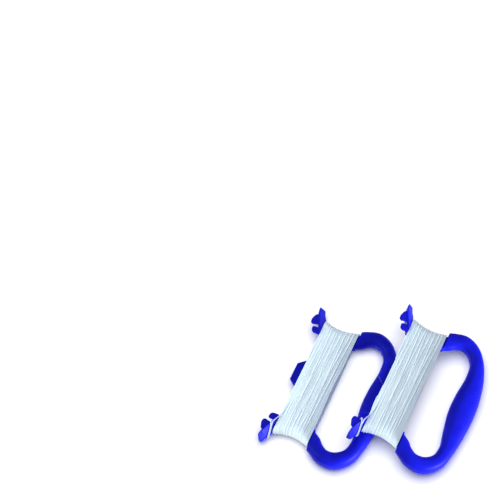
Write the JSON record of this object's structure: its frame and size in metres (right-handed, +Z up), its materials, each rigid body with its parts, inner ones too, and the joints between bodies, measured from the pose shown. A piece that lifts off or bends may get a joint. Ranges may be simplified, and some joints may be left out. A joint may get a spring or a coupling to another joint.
{
  "type": "pair of kite line handles",
  "caption": "Pair of moulded D-shaped kite handles with swelling grips, horns and cleats, each wound lengthwise with white flying line, one leaning on the other.",
  "frame": {"origin": "on the ground, under the middle of the pair's bounding box", "axes": "+Y along both handles towards their upper ends, +X from the wound line towards the grips, +Z up from the ground"},
  "size_m": [0.1674, 0.166, 0.0327],
  "materials": {
    "blue_plastic": "smooth moulded royal blue",
    "white_line": "braided white polyester",
    "screw_steel": "zinc plated"
  },
  "bodies": {
    "left_handle": {"left_front_shell": "blue_plastic", "left_back_shell": "blue_plastic", "left_screw_1": "screw_steel", "left_screw_2": "screw_steel", "left_screw_3": "screw_steel", "left_screw_4": "screw_steel", "left_screw_5": "screw_steel", "left_screw_6": "screw_steel", "left_line_coil": "white_line", "left_line_anchor_knot": "white_line", "left_line_tail": "white_line", "left_line_end_loop": "white_line", "left_line_loop_knot": "white_line"},
    "right_handle": {"right_front_shell": "blue_plastic", "right_back_shell": "blue_plastic", "right_screw_1": "screw_steel", "right_screw_2": "screw_steel", "right_screw_3": "screw_steel", "right_screw_4": "screw_steel", "right_screw_5": "screw_steel", "right_screw_6": "screw_steel", "right_line_coil": "white_line", "right_line_anchor_knot": "white_line", "right_line_tail": "white_line", "right_line_end_loop": "white_line", "right_line_loop_knot": "white_line"}
  },
  "joints": [
    {"name": "right_handle_lift", "type": "slide", "parent": "left_handle", "child": "right_handle", "axis": [0, 0, 1], "range_m": [0, 0.12]}
  ]
}
